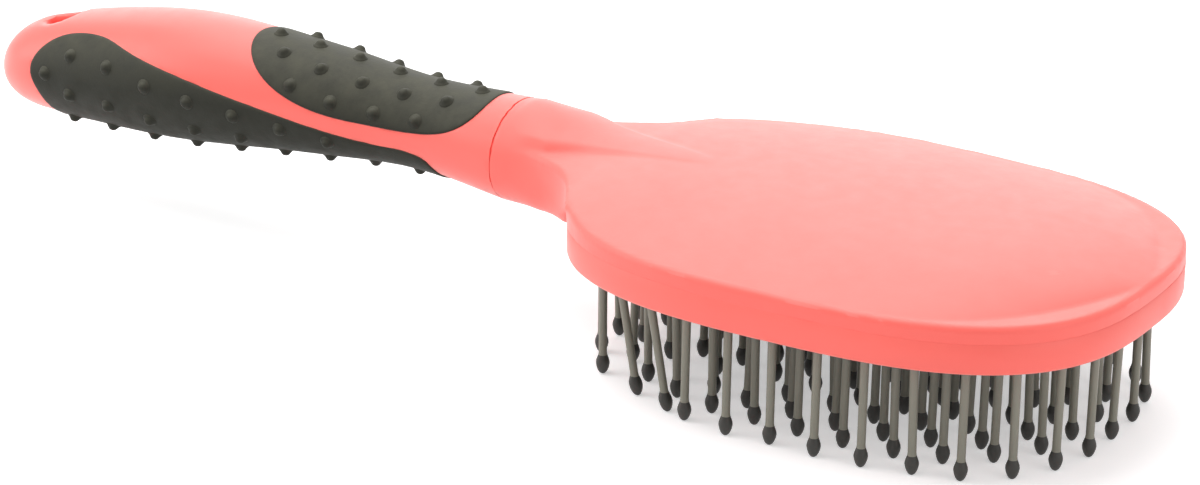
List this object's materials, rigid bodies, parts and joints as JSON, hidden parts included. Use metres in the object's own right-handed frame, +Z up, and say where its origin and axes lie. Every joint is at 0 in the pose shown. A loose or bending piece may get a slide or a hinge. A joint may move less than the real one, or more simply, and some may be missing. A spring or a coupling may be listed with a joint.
{
  "type": "horse grooming brush",
  "caption": "Paddle grooming brush for horses: domed head with ball-tipped pins sprung in a rubber pad, and a long arched handle with two soft nubbed grips.",
  "frame": {"origin": "middle of the bounding box's base, on the plane of the pin tips", "axes": "+X from the handle's end to the head's far end, +Y across the head, +Z up from the pin tips to the back"},
  "size_m": [0.2486, 0.081, 0.041],
  "materials": {
    "head_coral": "satin moulded, coral",
    "handle_coral": "semi-gloss moulded, coral",
    "grip_rubber": "soft matt, warm dark grey",
    "pad_rubber": "soft matt, dark grey",
    "pin_plastic": "satin, warm grey"
  },
  "bodies": {
    "brush": {"back_shell": "head_coral", "cushion_frame": "head_coral", "pin_pad": "pad_rubber", "handle_core": "handle_coral", "top_grip": "grip_rubber", "lower_grip": "grip_rubber"},
    "outer_pin_pod_01": {"outer_pin_pod_01": "pin_plastic"},
    "outer_pin_pod_02": {"outer_pin_pod_02": "pin_plastic"},
    "outer_pin_pod_03": {"outer_pin_pod_03": "pin_plastic"},
    "outer_pin_pod_04": {"outer_pin_pod_04": "pin_plastic"},
    "outer_pin_pod_05": {"outer_pin_pod_05": "pin_plastic"},
    "outer_pin_pod_06": {"outer_pin_pod_06": "pin_plastic"},
    "outer_pin_pod_07": {"outer_pin_pod_07": "pin_plastic"},
    "outer_pin_pod_08": {"outer_pin_pod_08": "pin_plastic"},
    "outer_pin_pod_09": {"outer_pin_pod_09": "pin_plastic"},
    "outer_pin_pod_10": {"outer_pin_pod_10": "pin_plastic"},
    "middle_pin_pod_01": {"middle_pin_pod_01": "pin_plastic"},
    "middle_pin_pod_02": {"middle_pin_pod_02": "pin_plastic"},
    "middle_pin_pod_03": {"middle_pin_pod_03": "pin_plastic"},
    "middle_pin_pod_04": {"middle_pin_pod_04": "pin_plastic"},
    "middle_pin_pod_05": {"middle_pin_pod_05": "pin_plastic"},
    "middle_pin_pod_06": {"middle_pin_pod_06": "pin_plastic"},
    "middle_pin_pod_07": {"middle_pin_pod_07": "pin_plastic"},
    "middle_pin_pod_08": {"middle_pin_pod_08": "pin_plastic"},
    "inner_pin_pod_01": {"inner_pin_pod_01": "pin_plastic"},
    "inner_pin_pod_02": {"inner_pin_pod_02": "pin_plastic"},
    "inner_pin_pod_03": {"inner_pin_pod_03": "pin_plastic"},
    "inner_pin_pod_04": {"inner_pin_pod_04": "pin_plastic"},
    "inner_pin_pod_05": {"inner_pin_pod_05": "pin_plastic"},
    "centre_pin_pod": {"centre_pin_pod": "pin_plastic"}
  },
  "joints": [
    {"name": "outer_pin_pod_01_press", "type": "slide", "parent": "brush", "child": "outer_pin_pod_01", "axis": [0, 0, 1], "range_m": [0, 0.0025], "stiffness_N_per_m": 1200},
    {"name": "outer_pin_pod_02_press", "type": "slide", "parent": "brush", "child": "outer_pin_pod_02", "axis": [0, 0, 1], "range_m": [0, 0.0025], "stiffness_N_per_m": 1200},
    {"name": "outer_pin_pod_03_press", "type": "slide", "parent": "brush", "child": "outer_pin_pod_03", "axis": [0, 0, 1], "range_m": [0, 0.0025], "stiffness_N_per_m": 1200},
    {"name": "outer_pin_pod_04_press", "type": "slide", "parent": "brush", "child": "outer_pin_pod_04", "axis": [0, 0, 1], "range_m": [0, 0.0025], "stiffness_N_per_m": 1200},
    {"name": "outer_pin_pod_05_press", "type": "slide", "parent": "brush", "child": "outer_pin_pod_05", "axis": [0, 0, 1], "range_m": [0, 0.0025], "stiffness_N_per_m": 1200},
    {"name": "outer_pin_pod_06_press", "type": "slide", "parent": "brush", "child": "outer_pin_pod_06", "axis": [0, 0, 1], "range_m": [0, 0.0025], "stiffness_N_per_m": 1200},
    {"name": "outer_pin_pod_07_press", "type": "slide", "parent": "brush", "child": "outer_pin_pod_07", "axis": [0, 0, 1], "range_m": [0, 0.0025], "stiffness_N_per_m": 1200},
    {"name": "outer_pin_pod_08_press", "type": "slide", "parent": "brush", "child": "outer_pin_pod_08", "axis": [0, 0, 1], "range_m": [0, 0.0025], "stiffness_N_per_m": 1200},
    {"name": "outer_pin_pod_09_press", "type": "slide", "parent": "brush", "child": "outer_pin_pod_09", "axis": [0, 0, 1], "range_m": [0, 0.0025], "stiffness_N_per_m": 1200},
    {"name": "outer_pin_pod_10_press", "type": "slide", "parent": "brush", "child": "outer_pin_pod_10", "axis": [0, 0, 1], "range_m": [0, 0.0025], "stiffness_N_per_m": 1200},
    {"name": "middle_pin_pod_01_press", "type": "slide", "parent": "brush", "child": "middle_pin_pod_01", "axis": [0, 0, 1], "range_m": [0, 0.0025], "stiffness_N_per_m": 1200},
    {"name": "middle_pin_pod_02_press", "type": "slide", "parent": "brush", "child": "middle_pin_pod_02", "axis": [0, 0, 1], "range_m": [0, 0.0025], "stiffness_N_per_m": 1200},
    {"name": "middle_pin_pod_03_press", "type": "slide", "parent": "brush", "child": "middle_pin_pod_03", "axis": [0, 0, 1], "range_m": [0, 0.0025], "stiffness_N_per_m": 1200},
    {"name": "middle_pin_pod_04_press", "type": "slide", "parent": "brush", "child": "middle_pin_pod_04", "axis": [0, 0, 1], "range_m": [0, 0.0025], "stiffness_N_per_m": 1200},
    {"name": "middle_pin_pod_05_press", "type": "slide", "parent": "brush", "child": "middle_pin_pod_05", "axis": [0, 0, 1], "range_m": [0, 0.0025], "stiffness_N_per_m": 1200},
    {"name": "middle_pin_pod_06_press", "type": "slide", "parent": "brush", "child": "middle_pin_pod_06", "axis": [0, 0, 1], "range_m": [0, 0.0025], "stiffness_N_per_m": 1200},
    {"name": "middle_pin_pod_07_press", "type": "slide", "parent": "brush", "child": "middle_pin_pod_07", "axis": [0, 0, 1], "range_m": [0, 0.0025], "stiffness_N_per_m": 1200},
    {"name": "middle_pin_pod_08_press", "type": "slide", "parent": "brush", "child": "middle_pin_pod_08", "axis": [0, 0, 1], "range_m": [0, 0.0025], "stiffness_N_per_m": 1200},
    {"name": "inner_pin_pod_01_press", "type": "slide", "parent": "brush", "child": "inner_pin_pod_01", "axis": [0, 0, 1], "range_m": [0, 0.0025], "stiffness_N_per_m": 1200},
    {"name": "inner_pin_pod_02_press", "type": "slide", "parent": "brush", "child": "inner_pin_pod_02", "axis": [0, 0, 1], "range_m": [0, 0.0025], "stiffness_N_per_m": 1200},
    {"name": "inner_pin_pod_03_press", "type": "slide", "parent": "brush", "child": "inner_pin_pod_03", "axis": [0, 0, 1], "range_m": [0, 0.0025], "stiffness_N_per_m": 1200},
    {"name": "inner_pin_pod_04_press", "type": "slide", "parent": "brush", "child": "inner_pin_pod_04", "axis": [0, 0, 1], "range_m": [0, 0.0025], "stiffness_N_per_m": 1200},
    {"name": "inner_pin_pod_05_press", "type": "slide", "parent": "brush", "child": "inner_pin_pod_05", "axis": [0, 0, 1], "range_m": [0, 0.0025], "stiffness_N_per_m": 1200},
    {"name": "centre_pin_pod_press", "type": "slide", "parent": "brush", "child": "centre_pin_pod", "axis": [0, 0, 1], "range_m": [0, 0.0025], "stiffness_N_per_m": 1200}
  ]
}
